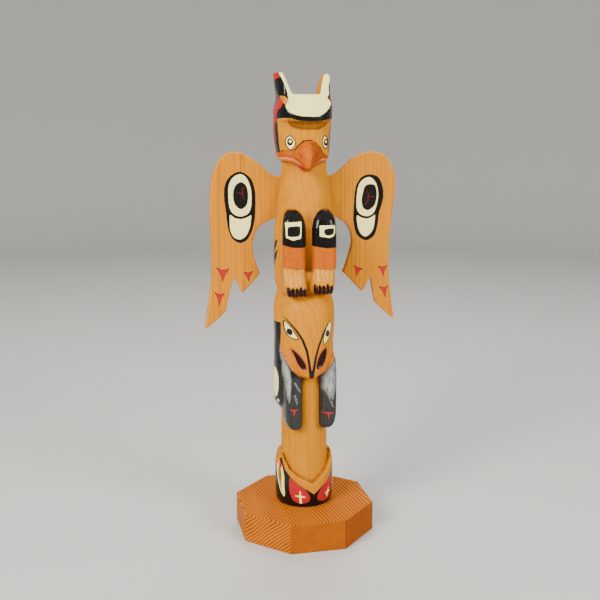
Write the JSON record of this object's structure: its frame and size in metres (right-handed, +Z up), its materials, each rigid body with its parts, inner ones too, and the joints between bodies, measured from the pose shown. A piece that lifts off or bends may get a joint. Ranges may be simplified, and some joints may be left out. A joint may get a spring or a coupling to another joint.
{
  "type": "model totem pole",
  "caption": "Carved and painted wooden model totem pole: a horned thunderbird with spread board wings stands on a whale head, on an octagonal block.",
  "frame": {"origin": "centre of the octagonal block's underside, on the pole's axis", "axes": "+Z up along the pole, -Y towards the carved front, +X to the viewer's right along the wings"},
  "size_m": [0.1302, 0.089, 0.3075],
  "materials": {
    "block_wood": "satin",
    "pole_wood": "satin",
    "wing_wood": "satin"
  },
  "bodies": {
    "root": {"base": "block_wood", "pole": "pole_wood", "wing_left": "wing_wood", "wing_right": "wing_wood"}
  },
  "joints": []
}
